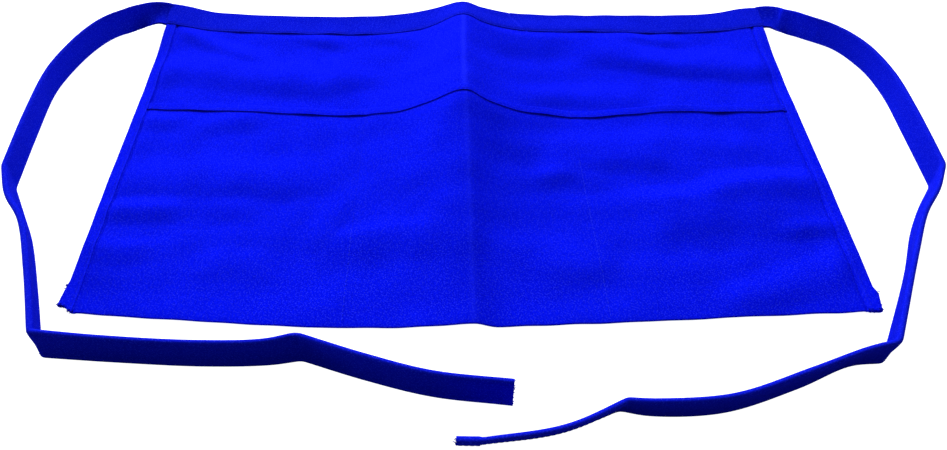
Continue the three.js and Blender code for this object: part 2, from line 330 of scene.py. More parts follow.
def soft_height(x, y):
    """All the soft folds and the faint ripples between them."""
    height = np.zeros(np.shape(x))
    for fold_height, far, near, crest in FOLDS:
        away, side, from_end = along_crest(x, y, crest)
        reach = np.where(side > 0, far, near)
        body = (1 - np.minimum(1.0, away / reach) ** 2) ** 2
        height += fold_height * body * smoothstep(from_end, 0, FOLD_ENDS)
    waves = np.zeros(np.shape(x))
    for pace, turn, start in RIPPLE_WAVES:
        waves += np.sin(pace * (x * math.cos(turn) + y * math.sin(turn)) + start)
    ripple = RIPPLES["level"] + RIPPLES["height"] * waves / math.sqrt(len(RIPPLE_WAVES))
    return height + np.maximum(0.0, ripple)


print(len(FOLDS), "soft folds and", len(RIPPLE_WAVES), "ripples")

# %% Laying a point of the flat apron on the table
SETBACK = {"left": 12.0, "right": 5.5}
WAIST_SKEW = -4.2
CORNER_LIFT = {"height": 3.5, "from_x": 205, "from_y": 240}
BAND_RISE = 1.4
BAND_TWIST = {"left": 2.0, "right": 0.8, "from_x": 215}
CORNER_TUCK = {"reach": 7.0, "from_x": 243, "to_y": 30}
SEAT_RAMP = 18.0
SEAT_MARGIN = 2.5
SEWN_STIFF = {"binding": 0.85, "band": 0.4, "ramp": 10.0}
BOTTOM_SPREAD = {"reach": 0.5, "from_y": 110, "to_y": 190}
WAIST_SAG = {
    "x": [-250, -220, -145, -95, -40, 60, 140, 185, 250],
    "back": [-2, -5.5, -6.5, -4.5, 0, -1, -4, -5.5, -2],
    "from_y": 215,
    "to_y": 345,
}
MOUTH_WANDER = {
    "x": [-250, -190, -60, -30, 10, 40, 65, 95, 120, 150, 205, 250],
    "back": [1, 2, 1, 1.5, 0, 1.5, 1, -3, -0.5, 2, -1, -1],
    "half_width": 45,
}
BOTTOM_WANDER = {
    "x": [-230, -160, -105, -65, -30, 60, 115, 190, 230],
    "back": [2.5, 1.5, -1, -1, -2, -1, 0, 0.5, -0.5],
    "to_y": 90,
}
WANDER_BLUR = (-12, -6, 0, 6, 12)


def seat_share(x, y):
    """Share of the way up on to the back walls of the bindings and the waistband, under the sewn edges."""
    binding_seat = BINDING_INNER - SEAT_MARGIN
    band_seat = BAND_NEAR - SEAT_MARGIN
    over_binding = smoothstep(np.abs(x), binding_seat - SEAT_RAMP, binding_seat)
    return np.maximum(over_binding, smoothstep(y, band_seat - SEAT_RAMP, band_seat))


def soft_share(x, y):
    """Share of the soft folds that is left where the sewn edges stiffen the cloth."""
    beside = SEWN_STIFF["binding"] * smoothstep(np.abs(x), BINDING_INNER - SEWN_STIFF["ramp"], HALF_WIDTH)
    under_band = SEWN_STIFF["band"] * smoothstep(y, BAND_NEAR - SEWN_STIFF["ramp"], BAND_NEAR)
    return (1 - beside) * (1 - under_band)


def wander(line, x):
    """How far back a line across the apron lies at x."""
    return blurred(x, line["x"], line["back"], WANDER_BLUR)


def outline_back(x, y):
    """How far back the cloth lies because its waist sags and its mouth and bottom fold wander."""
    waist = wander(WAIST_SAG, x) * smoothstep(y, WAIST_SAG["from_y"], WAIST_SAG["to_y"])
    mouth = wander(MOUTH_WANDER, x) * bell(y - POCKET_DEPTH, MOUTH_WANDER["half_width"])
    bottom = wander(BOTTOM_WANDER, x) * (1 - smoothstep(y, 0, BOTTOM_WANDER["to_y"]))
    return waist + mouth + bottom


def corner_height(x, y):
    """Lift of the two waist corners, where the ties begin to turn up on edge."""
    outwards = smoothstep(np.abs(x), CORNER_LIFT["from_x"], HALF_WIDTH)
    return CORNER_LIFT["height"] * outwards * smoothstep(y, CORNER_LIFT["from_y"], BAND_NEAR)


def band_height(x, y):
    """Rise of the waistband towards its folded edge, which the twist into the ties adds to at its ends."""
    twist = np.where(x < 0, BAND_TWIST["left"], BAND_TWIST["right"])
    rise = BAND_RISE + twist * smoothstep(np.abs(x), BAND_TWIST["from_x"], HALF_WIDTH)
    return rise * np.clip((y - BAND_NEAR) / TAPE_WIDTH, 0.0, 1.0)


def lay(x, y, level):
    """Carries points of the flat apron, at a level within its layers, to where they lie on the table."""
    x, y, level = np.broadcast_arrays(np.asarray(x, float), np.asarray(y, float), np.asarray(level, float))
    setback = np.where(x < 0, SETBACK["left"], SETBACK["right"])
    laid_y = y + setback * (x / HALF_WIDTH) ** 2 + WAIST_SKEW * (x / HALF_WIDTH) * (y / APRON_LENGTH)
    tucked = smoothstep(-x, CORNER_TUCK["from_x"], HALF_WIDTH) * (1 - smoothstep(y, 0, CORNER_TUCK["to_y"]))
    laid_y = laid_y + outline_back(x, y) + CORNER_TUCK["reach"] * tucked
    wider = BOTTOM_SPREAD["reach"] * (1 - smoothstep(y, BOTTOM_SPREAD["from_y"], BOTTOM_SPREAD["to_y"]))
    soft = soft_height(x, y) * soft_share(x, y)
    height = level + crease_height(x, y) + soft + corner_height(x, y) + band_height(x, y)
    return np.stack([x * (1 + wider / HALF_WIDTH), laid_y, height], axis=-1)


print("waist corners lie at", lay([-HALF_WIDTH, HALF_WIDTH], APRON_LENGTH, 0).round(1).tolist())

# %% [markdown]
# ## Twill
#
# Twill shows fine slanting ribs. The ribs follow the cloth, not the room, so the material reads the
# piece's own UV map, which holds the flat cut in units of a hundred millimetres. A wave gives the ribs, a
# fine noise breaks them up into yarns, a longer one makes some yarns thicker, and a broad one makes the
# dye a little uneven. Specks of pale fuzz stand on the yarns. An attribute lays a pale blue over the
# cloth. On the sewn edges and beside the waistband's join it is wear, where rubbing has paled the dye.
# Along the pressed crest, the fold of the pocket mouth and the rolled upper edge of the ties it is a
# painted highlight. The cloth is matt.

# %% Twill material
UV_UNIT = 100.0
RIB_PITCH = 0.9
YARN_SIZE = 0.9
SLUB_SIZE = (1.4, 3.6)
PATCH_SIZE = 26.0
WAVE_TURN = 20.0
# Pale blue laid over the cloth: wear on the sewn edges, and painted highlight on the crest, the pocket
# mouth's fold and the ties' rolled tops.
WEAR_AND_HIGHLIGHT_BLUE = (0.016, 0.03, 0.86)
FUZZ_SIZE = 0.95
FUZZ_TILT = 25
FUZZ_BLUE = (0.022, 0.036, 0.76)
FUZZ_RANGE = {"From Min": 0.52, "From Max": 0.78, "To Max": 0.46}
TWILL_SURFACE = {"Roughness": 0.95, "Specular IOR Level": 0.004, "Sheen Weight": 0.01, "Sheen Roughness": 0.5}
SHEEN_BLUE = (0.02, 0.05, 1.0)
RIB_WAVE = {"Distortion": 0.8, "Detail": 1.0, "Detail Scale": 1.5}
NOISE_DETAIL = {"yarns": 2.0, "slubs": 1.0, "patches": 3.0, "fuzz": 0.0}
WEAVE_SHARES = {"ribs": 0.4, "yarns": 0.6}
DYE_SHARES = {"weave": 0.48, "slubs": 0.34, "patches": 0.18}
DYE_RANGE = (0.34, 0.66)
TWILL_RELIEF = {"Strength": 0.6, "Distance": 0.15 * MM}
# A Mix node's colour sockets have the same names as its other sockets, so they are told apart by number.
MIX_COLOURS = {"share": 0, "under": 6, "over": 7, "result": 2}


def flat_cut(nodes, links, tilt, scale):
    """Coordinates over the flat cut in millimetres, turned by a tilt in degrees and divided by a scale."""
    cut = nodes.new("ShaderNodeTexCoord")
    turned = nodes.new("ShaderNodeMapping")
    turned.inputs["Scale"].default_value = (UV_UNIT / scale[0], UV_UNIT / scale[1], 1.0)
    turned.inputs["Rotation"].default_value = (0.0, 0.0, math.radians(tilt))
    links.new(cut.outputs["UV"], turned.inputs["Vector"])
    return turned.outputs["Vector"]


def noise(nodes, links, place, detail):
    """A noise texture read at a place."""
    texture = nodes.new("ShaderNodeTexNoise")
    set_inputs(texture, {"Scale": 1.0, "Detail": detail})
    links.new(place, texture.inputs["Vector"])
    return texture.outputs["Fac"]


def blended(nodes, links, parts):
    """The weighted sum of several patterns."""
    total = None
    for pattern, weight in parts:
        adder = nodes.new("ShaderNodeMath")
        adder.operation = "MULTIPLY_ADD"
        adder.inputs[1].default_value = weight
        adder.inputs[2].default_value = 0.0
        links.new(pattern, adder.inputs[0])
        if total is not None:
            links.new(total, adder.inputs[2])
        total = adder.outputs["Value"]
    return total


def laid_over(nodes, links, under, colour, share):
    """A colour laid over another one, by a share that varies over the cloth."""
    mix = nodes.new("ShaderNodeMix")
    mix.data_type = "RGBA"
    mix.inputs[MIX_COLOURS["over"]].default_value = (*colour, 1.0)
    links.new(share, mix.inputs[MIX_COLOURS["share"]])
    links.new(under, mix.inputs[MIX_COLOURS["under"]])
    return mix.outputs[MIX_COLOURS["result"]]


def shaded(nodes, links, pattern, dark, bright, ends):
    """A colour that goes from dark to bright as a pattern goes from one end of its range to the other."""
    ramp = nodes.new("ShaderNodeValToRGB")
    for stop, place, colour in zip(ramp.color_ramp.elements, ends, (dark, bright)):
        stop.position = place
        stop.color = (*colour, 1.0)
    links.new(pattern, ramp.inputs["Fac"])
    return ramp.outputs["Color"]


def emboss(nodes, links, shader, pattern, relief):
    """Gives a shader's surface the relief of a pattern."""
    bumps = nodes.new("ShaderNodeBump")
    set_inputs(bumps, relief)
    links.new(pattern, bumps.inputs["Height"])
    links.new(bumps.outputs["Normal"], shader.inputs["Normal"])


def twill(name, bright, dark, tilt):
    """Matt twill with ribs at a tilt in degrees to the length of the cut."""
    material, nodes, links, shader = new_material(name, TWILL_SURFACE)
    shader.inputs["Sheen Tint"].default_value = (*SHEEN_BLUE, 1.0)

    ribs = nodes.new("ShaderNodeTexWave")
    ribs.bands_direction = "X"
    ribs.inputs["Scale"].default_value = 2 * math.pi / (WAVE_TURN * RIB_PITCH)
    set_inputs(ribs, RIB_WAVE)
    links.new(flat_cut(nodes, links, tilt, (1.0, 1.0)), ribs.inputs["Vector"])
    yarn_place = flat_cut(nodes, links, 0, (YARN_SIZE, YARN_SIZE))
    yarns = noise(nodes, links, yarn_place, NOISE_DETAIL["yarns"])
    slubs = noise(nodes, links, flat_cut(nodes, links, 0, SLUB_SIZE), NOISE_DETAIL["slubs"])
    patch_place = flat_cut(nodes, links, 0, (PATCH_SIZE, PATCH_SIZE))
    patches = noise(nodes, links, patch_place, NOISE_DETAIL["patches"])
    weave_parts = [(ribs.outputs["Fac"], WEAVE_SHARES["ribs"]), (yarns, WEAVE_SHARES["yarns"])]
    weave = blended(nodes, links, weave_parts)
    dye_parts = [(weave, DYE_SHARES["weave"]), (slubs, DYE_SHARES["slubs"]), (patches, DYE_SHARES["patches"])]
    dyed = shaded(nodes, links, blended(nodes, links, dye_parts), dark, bright, DYE_RANGE)

    fuzz_place = flat_cut(nodes, links, FUZZ_TILT, (FUZZ_SIZE, FUZZ_SIZE))
    fuzz = nodes.new("ShaderNodeMapRange")
    set_inputs(fuzz, FUZZ_RANGE)
    links.new(noise(nodes, links, fuzz_place, NOISE_DETAIL["fuzz"]), fuzz.inputs["Value"])
    fuzzy = laid_over(nodes, links, dyed, FUZZ_BLUE, fuzz.outputs["Result"])
    # The cloth's attribute lays pale wear on the sewn edges, and painted highlight on the crest, the pocket
    # mouth's fold and the ties' rolled tops.
    wear_and_highlight = nodes.new("ShaderNodeAttribute")
    wear_and_highlight.attribute_name = "wear_and_highlight"
    wear_and_highlight_layer = laid_over(nodes, links, fuzzy, WEAR_AND_HIGHLIGHT_BLUE, wear_and_highlight.outputs["Fac"])
    links.new(wear_and_highlight_layer, shader.inputs["Base Color"])
    emboss(nodes, links, shader, weave, TWILL_RELIEF)
    return material


panel_twill = twill("royal_blue_twill", (0.001, 0.0052, 0.7), (0.0, 0.002, 0.48), 63)
tape_twill = twill("royal_blue_tape", (0.001, 0.0052, 0.51), (0.0, 0.002, 0.36), 45)
binding_twill = twill("royal_blue_binding", (0.0012, 0.0056, 0.73), (0.0, 0.0022, 0.52), 45)
print("cloths:", [material.name for material in (panel_twill, tape_twill, binding_twill)])


# %% Thread material
THREAD_SURFACE = {"Roughness": 0.8, "Specular IOR Level": 0.02}
FIBRE_SIZE = 0.4
FIBRE_RELIEF = {"Distance": 0.05 * MM}
FIBRE_SHADE = 0.7
FIBRE_RANGE = (0.0, 1.0)


def thread(name, colour):
    """Spun thread: fibres make it a little uneven."""
    material, nodes, links, shader = new_material(name, THREAD_SURFACE)
    place = nodes.new("ShaderNodeTexCoord")
    fibres = nodes.new("ShaderNodeTexNoise")
    fibres.inputs["Scale"].default_value = 1 / (FIBRE_SIZE * MM)
    links.new(place.outputs["Object"], fibres.inputs["Vector"])
    dark = [FIBRE_SHADE * part for part in colour]
    spun = shaded(nodes, links, fibres.outputs["Fac"], dark, colour, FIBRE_RANGE)
    links.new(spun, shader.inputs["Base Color"])
    emboss(nodes, links, shader, fibres.outputs["Fac"], FIBRE_RELIEF)
    return material


blue_thread = thread("blue_thread", (0.004, 0.01, 0.66))
pale_thread = thread("pale_blue_thread", (0.014, 0.028, 0.8))
print("threads:", [material.name for material in (blue_thread, pale_thread)])

# %% [markdown]
# ## From a flat cut to a cloth piece
#
# Every cloth piece is made in the same way. A grid is added with a vertex for each place across and along
# the cut. Its vertices are then moved to their folded places, its UV map is given the flat cut, and a
# Solidify modifier gives it the thickness of the cloth. The grid stays a single sheet until then, so
# folds stay clean.


# %% Cloth maker
SMOOTH_ANGLE = 50


def cloth(name, across, along, folded, material, wear_and_highlight):
    """A grid with one vertex for each place across and along, moved to its folded places."""
    bpy.ops.object.select_all(action="DESELECT")
    columns, rows = len(across), len(along)
    bpy.ops.mesh.primitive_grid_add(x_subdivisions=columns - 1, y_subdivisions=rows - 1, size=1.0)
    piece = bpy.context.active_object
    piece.name = name
    piece.data.name = name
    mesh = piece.data
    mesh.vertices.foreach_set("co", to_frame(folded).astype(np.float32).ravel())

    corner_vertex = np.zeros(len(mesh.loops), np.int32)
    mesh.loops.foreach_get("vertex_index", corner_vertex)
    flat = np.stack([np.tile(across, rows), np.repeat(along, columns)], axis=1) / UV_UNIT
    mesh.uv_layers.active.data.foreach_set("uv", flat[corner_vertex].astype(np.float32).ravel())
    # This attribute holds pale wear on the sewn edges, and painted highlight on the crest, the pocket mouth's
    # fold and the ties' rolled tops.
    wear_and_highlight_layer = mesh.attributes.new("wear_and_highlight", "FLOAT", "POINT")
    wear_and_highlight_layer.data.foreach_set("value", np.asarray(wear_and_highlight, np.float32).ravel())
    mesh.update()

    wall = piece.modifiers.new("cloth thickness", "SOLIDIFY")
    wall.thickness = CLOTH * MM
    wall.offset = 0.0
    bpy.ops.object.modifier_apply(modifier=wall.name)
    bpy.ops.object.shade_smooth_by_angle(angle=math.radians(SMOOTH_ANGLE))
    mesh.materials.append(material)
    print(f"{name}: {columns} by {rows} places, {len(piece.data.polygons)} faces")
    return piece


def spread(low, high, step):
    """Even places from low to high, about a step apart."""
    return np.linspace(low, high, max(2, round(abs(high - low) / step) + 1))


def run_along(points):
    """Length of the way from the first of a row of points to each of them."""
    return np.concatenate([[0.0], np.cumsum(np.linalg.norm(np.diff(points, axis=0), axis=1))])


def turn_angles(count):
    """Angles inside a half turn, without its two ends."""
    return np.linspace(0.0, math.pi, count + 2)[1:-1]


def lifted(x, lifts):
    """Height of a sewn edge that has puckered up at a few places along it."""
    return sum(height * bell(x - middle, half_width) for middle, height, half_width in lifts)


# %% [markdown]
# ## The panel
#
# The panel is one cut: down the back, round the bottom fold, up the pocket front, and over the mouth in a
# narrow hem that is turned to the outside. Two sewn lines divide the pocket front into three pockets.
# Along those lines the stitches pull the front down on to the back, and between them it lies a little
# loose.

# %% Apron panel
DIVIDERS = {
    "left": {"top": -76.4, "bottom": -78.6, "pale_below": 72.0},
    "right": {"top": 78.1, "bottom": 85.4, "pale_below": 135.0},
}
POCKET_LOOSE = 1.0
SEAM_HALF_WIDTH = 3.0
SEAM_PULL = 0.6
PANEL_STEP = 3.0
HEM_STEP = 1.2
FOLD_TURNS = 6
FOLD_FORWARD = 1.2
CREST_STEP = 1.2
CREST_ZONE = 36.0
# A painted highlight: a pale line along the crest of the pressed crease.
CREST_HIGHLIGHT = {"half_width": 1.8, "above": 0.24, "pockets": 0.1}
EDGE_GROOVE = {"inside": 1.3, "half_width": 0.9, "depth": 0.75, "zone": (7.0, 0.6), "step": 0.8}
# A painted highlight: a pale line along the fold at the pocket mouth.
MOUTH_HIGHLIGHT = 0.7
# Each pucker has its place across, its height and its half width.
HEM_PUCKERS = [
    (-206, 0.5, 14),
    (-119, 0.5, 10),
    (-86, 0.5, 9),
    (60, 0.3, 9),
    (104, 0.4, 14),
    (194, 0.9, 9),
]


def divider_x(side, y):
    """Place across of a divider seam at a height up the pocket."""
    seam = DIVIDERS[side]
    return seam["bottom"] + (seam["top"] - seam["bottom"]) * np.clip(y / POCKET_DEPTH, 0.0, 1.0)


def pocket_loose(x, y):
    """How far the pocket front stands off the back: most between the seams, and more towards the mouth."""
    seams = [np.full(np.shape(y), -BINDING_INNER), divider_x("left", y), divider_x("right", y)]
    seams.append(np.full(np.shape(y), BINDING_INNER))
    loose = np.zeros(np.shape(x))
    for left, right in zip(seams, seams[1:]):
        share = np.clip((x - left) / (right - left), 0.0, 1.0)
        loose += np.sin(math.pi * share) ** 2
    for side in DIVIDERS:
        loose -= SEAM_PULL * bell(x - divider_x(side, y), SEAM_HALF_WIDTH)
    return POCKET_LOOSE * loose * smoothstep(y, 0, POCKET_DEPTH)


def panel_rows():
    """Rows of the cut from the waist down: y, level, share of looseness, half width and turn of the hem."""
    radius = LAYER / 2
    back, pocket = CLOTH / 2, CLOTH / 2 + LAYER
    fold_y = radius + CLOTH / 2 - FOLD_FORWARD
    mouth_y = POCKET_DEPTH - radius - CLOTH / 2
    hem_edge = BINDING_INNER - GAP
    rows = [(y, back, 0.0, PANEL_EDGE, 0.0) for y in spread(PANEL_TOP, fold_y, PANEL_STEP)]
    for turn in turn_angles(FOLD_TURNS):
        level = back + radius - radius * math.cos(turn)
        rows.append((fold_y - radius * math.sin(turn), level, 0.0, PANEL_EDGE, 0.0))
    rows += [(y, pocket, 1.0, PANEL_EDGE, 0.0) for y in spread(fold_y, mouth_y, PANEL_STEP)]
    for turn in turn_angles(FOLD_TURNS):
        level = pocket + radius - radius * math.cos(turn)
        rows.append((mouth_y + radius * math.sin(turn), level, 1.0, hem_edge, turn / math.pi))
    for y in spread(mouth_y, POCKET_DEPTH - MOUTH_HEM, HEM_STEP):
        rows.append((y, pocket + LAYER, 1.0, hem_edge, 1.0))
    return [np.array(column) for column in zip(*rows)]


def mirrored(zone, side):
    """Places across the apron: close ones over a zone in the middle, and those of one side on both sides."""
    return np.concatenate([-side[::-1], spread(-zone, zone, CREST_STEP)[1:-1], side])


def places_across(edge):
    """Places across the apron, closer together over the crease and beside the bindings."""
    inside, past = EDGE_GROOVE["zone"]
    plain = spread(CREST_ZONE, BINDING_INNER - inside, PANEL_STEP)
    grooved = spread(BINDING_INNER - inside, BINDING_INNER + past, EDGE_GROOVE["step"])[1:]
    outer = spread(BINDING_INNER + past, edge, PANEL_STEP)[1:]
    return mirrored(CREST_ZONE, np.concatenate([plain, grooved, outer]))


def edge_groove(x):
    """Depth of the groove that the binding's seam pulls into the panel beside it."""
    away = np.abs(x) - BINDING_INNER + EDGE_GROOVE["inside"]
    return EDGE_GROOVE["depth"] * bell(away, EDGE_GROOVE["half_width"])


def panel_points(across, rows):
    """Every vertex of the panel, folded and laid."""
    y, level, loose, edge, turned = rows
    grid_x, grid_y = np.meshgrid(across, y)
    grid_x = np.clip(grid_x, -edge[:, None], edge[:, None])
    height = level[:, None] + LAYER * seat_share(grid_x, grid_y)
    height = height + loose[:, None] * pocket_loose(grid_x, grid_y)
    height = height + turned[:, None] * lifted(grid_x, HEM_PUCKERS) - edge_groove(grid_x)
    return lay(grid_x, grid_y, height).reshape(-1, 3)


def panel_highlight(across, rows):
    """Painted highlight on the panel: a pale line on the pressed crest, and on the fold of the pocket mouth.
    """
    y, _, loose, _, turned = rows
    crest = bell(across[None, :] - crease_column(y[:, None], "middle"), CREST_HIGHLIGHT["half_width"])
    strength = np.where(loose > 0, CREST_HIGHLIGHT["pockets"], CREST_HIGHLIGHT["above"])
    mouth = MOUTH_HIGHLIGHT * np.sin(math.pi * turned)
    return np.maximum(strength[:, None] * crest, mouth[:, None])


PANEL_ROWS = panel_rows()
PANEL_ACROSS = places_across(PANEL_EDGE)
PANEL_ALONG = run_along(np.stack(PANEL_ROWS[:2], axis=1))
PANEL_POINTS = panel_points(PANEL_ACROSS, PANEL_ROWS)
PANEL_HIGHLIGHT = panel_highlight(PANEL_ACROSS, PANEL_ROWS)
panel = cloth("apron_cloth", PANEL_ACROSS, PANEL_ALONG, PANEL_POINTS, panel_twill, PANEL_HIGHLIGHT)
print(f"flat cut {2 * PANEL_EDGE:.0f} by {PANEL_ALONG[-1]:.0f} mm")

# %% [markdown]
# ## The side bindings
#
# A narrow strip is folded over each side edge and sewn through both layers of the pocket. Above the
# pocket mouth there is one layer less inside it, so the strip steps down there.

# %% Side bindings
BINDING_STEP = 2.5
BINDING_PAST = 1.0
MOUTH_STEP_DOWN = (POCKET_DEPTH, POCKET_DEPTH + 2 * MOUTH_HEM)
WRAP_STEP = 1.4
WRAP_TURNS = 7
WRAP_LEAST = 4
EDGE_PRESS = 0.25
EDGE_REACH = 2.0
BINDING_WEAR = 0.1
LOOSE_END = {
    -1: {"y": (0, 14, 22), "out": (2.2, 0.8, 0.0), "hang": 2.4},
    1: {"y": (0, 2, 13, 15), "out": (0.0, 0.3, 2.0, 0.0), "hang": 0.4},
}
HANG_REACH = 14.0


def wrap_rows(inner, outer, step=WRAP_STEP):
    """Rows round a strip folded over an edge: share of the way out, and the angle turned round the edge."""
    walls = max(WRAP_LEAST, round((outer - inner) / step))
    out = np.linspace(0.0, 1.0, walls + 1)
    turns = turn_angles(WRAP_TURNS)
    share = np.concatenate([out, np.ones(len(turns)), out[::-1]])
    angle = np.concatenate([np.zeros(len(out)), turns, np.full(len(out), math.pi)])
    return share, angle


def wrapped(inner, outer, layers_inside, share, angle):
    """How far out each row of a folded strip reaches, and its level, round the layers inside it."""
    radius = LAYER * (layers_inside + 1) / 2
    centre = outer - CLOTH / 2 - radius
    reach = inner + (centre - inner) * share + radius * np.sin(angle)
    level = CLOTH / 2 + radius - radius * np.cos(angle)
    return reach, level - EDGE_PRESS * sewn_edge(inner, reach, angle)


def sewn_edge(inner, reach, angle=math.pi):
    """1 at the sewn edge of a folded strip's upper wall, falling to 0 a little way in from it."""
    return np.where(angle > math.pi / 2, 1 - smoothstep(reach - inner, 0, EDGE_REACH), 0.0)


def layers_bound(y):
    """Layers of cloth inside a binding: two along the pocket, and one above its mouth."""
    return 2 - smoothstep(y, *MOUTH_STEP_DOWN)


def side_binding(name, sign):
    """One side strip, from its raw end at the bottom fold, a little loose there, to the waistband."""
    share, angle = wrap_rows(BINDING_INNER, HALF_WIDTH)
    y = spread(-BINDING_PAST, BAND_NEAR - GAP, BINDING_STEP)
    layers = layers_bound(y)
    loose = LOOSE_END[sign]
    outer = HALF_WIDTH + np.interp(y, loose["y"], loose["out"])
    reach, level = wrapped(BINDING_INNER, outer[:, None], layers[:, None], share[None, :], angle[None, :])
    hang = loose["hang"] * share[None, :] * (1 - smoothstep(y, 0, HANG_REACH))[:, None]
    points = lay(sign * reach, y[:, None] - hang, level).reshape(-1, 3)
    around = run_along(np.stack([reach[-1], level[-1]], axis=1))
    wear_and_highlight = BINDING_WEAR * sewn_edge(BINDING_INNER, reach, angle[None, :])
    return cloth(name, around, y, points, binding_twill, wear_and_highlight), around[-1]


binding_left, binding_cut = side_binding("binding_strip_left", -1)
binding_right, _ = side_binding("binding_strip_right", 1)
print(f"binding strip cut {binding_cut:.0f} mm wide")

# %% [markdown]
# ## The waistband
#
# The waistband is tape folded over the top edge of the panel. Its near edge is sewn down through
# everything, has puckered a little between the stitches, and is lifted where it passes over the bindings.
# Two lengths of tape meet in a slanted join right of the middle, which shows as a narrow groove with a
# pale edge.

# %% Waistband
BAND_STEP = 2.5
BAND_PUCKERS = [
    (-248, 0.9, 6),
    (248, 0.9, 6),
    (-188, 0.6, 9),
    (-149, 0.7, 10),
    (-111, 0.7, 9),
    (-85, 0.5, 7),
    (102, 0.8, 8),
    (154, 0.6, 7),
    (179, 0.7, 6),
    (209, 0.5, 9),
]
PUCKER_REACH = 14.0
BAND_WEAR = {"edge": 0.15, "join": 0.1}
BAND_JOIN = {"far_x": 38.0, "near_x": 52.0, "half_width": 1.3, "depth": 0.55}
BAND_ZONE = 58.0


def band_puckers(x, y):
    """Height of the puckers along the waistband's sewn edge, which fade towards its fold."""
    return (1 - smoothstep(y - BAND_NEAR, 0, PUCKER_REACH)) * lifted(x, BAND_PUCKERS)


def waistband():
    """The tape over the waist, from one side of the apron to the other."""
    share, angle = wrap_rows(BAND_NEAR, APRON_LENGTH)
    x = mirrored(BAND_ZONE, spread(BAND_ZONE, HALF_WIDTH, BAND_STEP))
    reach, level = wrapped(BAND_NEAR, APRON_LENGTH, 1.0, share[:, None], angle[:, None])
    upper = angle[:, None] > math.pi / 2
    puckers = np.where(upper, band_puckers(x[None, :], reach), 0.0)
    slant = (BAND_JOIN["far_x"] - BAND_JOIN["near_x"]) / TAPE_WIDTH
    from_join = x[None, :] - BAND_JOIN["near_x"] - slant * (reach - BAND_NEAR)
    join = np.where(upper, bell(from_join, BAND_JOIN["half_width"]), 0.0)
    points = lay(x[None, :], reach, level + puckers - BAND_JOIN["depth"] * join).reshape(-1, 3)
    around = run_along(np.column_stack([reach[:, 0], level[:, 0]]))
    beside = bell(from_join + 2 * BAND_JOIN["half_width"], BAND_JOIN["half_width"])
    rubbed_edge = BAND_WEAR["edge"] * sewn_edge(BAND_NEAR, reach, angle[:, None])
    wear_and_highlight = np.maximum(rubbed_edge, np.where(upper, BAND_WEAR["join"] * beside, 0.0))
    return cloth("waistband_tape", x, around, points, tape_twill, wear_and_highlight), around[-1]


band, band_cut = waistband()
print(f"waistband tape cut {band_cut:.0f} mm wide")

# %% [markdown]
# ## The ties
#
# Past the apron's corners the same tape runs on with no cloth inside it. It turns up on edge, lies round
# to the front, and has kept a few sharp bends. Each row below is a place on the tape's lower edge: lift
# is its height over the table, and lean is the tilt of the tape from upright towards the apron. The rows
# were read off the ties' edges in the photo and rounded, and they keep close to the frame's own ties,
# nearly everywhere within 3 mm. Where the tape turns up at a corner it cups, so its two edges are closer
# together than its width. The tape's upper edge is rolled, and the last 12 mm of the right tie are
# thicker, as if its end were turned over.

# %% Tie routes
TIE_COLUMNS = ("x", "y", "lift", "lean", "bend")
LEFT_TIE = [
    (-258, 304.5, 6, -76, 0),
    (-265, 303, 5, -52, 0),
    (-272, 301.5, 3, -20, 0),
    (-280, 300, 1, 2, 0),
    (-290, 296, 0, 10, 0),
    (-299, 287.5, 0, 10.5, 0),
    (-309, 270, 0, 10, 0),
    (-318, 243, 0, 9.5, 0),
    (-322, 220, 0, 9, 0),
    (-320.5, 174, 0, 6, 0),
    (-317, 119, 0, 6, 1),
    (-302.5, 94, 0, -2, 0),
    (-289.5, 71, 0, 6, 0),
    (-272.5, 31, 0, 7.5, 0),
    (-254, -16.5, 0, 7, 1),
    (-212, -20.5, 0, 4, 0),
    (-158, -24.5, 0, 3, 0),
    (-118, -24.5, 0, 3, 0),
    (-100, -22, 0, 6.5, 1),
    (-61, -36, 0, 5.5, 0),
    (-23, -47, 0, 4, 0),
    (22.5, -53.5, 0, 4, 0),
]
RIGHT_TIE = [
    (257.5, 290, 4.5, -76, 0),
    (263.5, 287, 3, -53, 0),
    (270, 285.5, 1, -24, 0),
    (278, 282.5, 0, 2, 0),
    (287, 277, 0, 9, 0),
    (296, 271.5, 0, 10.5, 0),
    (304, 265.5, 0, 12.5, 0),
    (311, 256.5, 0, 11.5, 0),
    (317, 244.5, 0, 9, 0),
    (322, 231, 0, 8, 0),
    (326, 202, 0, 4, 0),
    (325.5, 163, 0, 1, 0),
    (324, 107, 0, 2.5, 1),
    (308.5, 87, 0, -6, 0),
    (294.5, 65, 0, 1, 0),
    (278.5, 33, 0, 6, 0),
    (241, -31, 0, -0.5, 1),
    (221, -32.5, 0, -8.5, 0),
    (186, -46.5, 0, -4.5, 0),
    (140, -60.5, 0, -6, 0),
    (99, -61.5, 0, -9, 0),
    (82, -58, 0, -14.5, 1),
    (47, -71, 0, -19, 0),
    (3, -76.5, 0, -21.5, 1),
    (-9, -76, 0, -21.5, 0),
]
TIE_START = 1.0
TIE_WALLS = 0.55
TIE_SETTLES = 30.0
TIE_STEP = 1.6
STEPS_PER_ROW = 12
BEND_SOFTENING = np.array([1, 2, 3, 2, 1]) / 9


def curve_between(before, start, end, after, shares):
    """Points on a smooth curve from start to end; the first three columns set its pace."""
    route = (before, start, end, after)
    paces = [math.dist(one[:3], two[:3]) ** 0.5 for one, two in zip(route, route[1:])]
    knots = np.concatenate([[0.0], np.cumsum(paces)])
    at = (knots[1] + (knots[2] - knots[1]) * shares)[:, None]

    def mix(one, two, low, high):
        return ((knots[high] - at) * one + (at - knots[low]) * two) / (knots[high] - knots[low])

    first, second, third = mix(before, start, 0, 1), mix(start, end, 1, 2), mix(end, after, 2, 3)
    return mix(mix(first, second, 0, 2), mix(second, third, 1, 3), 1, 2)


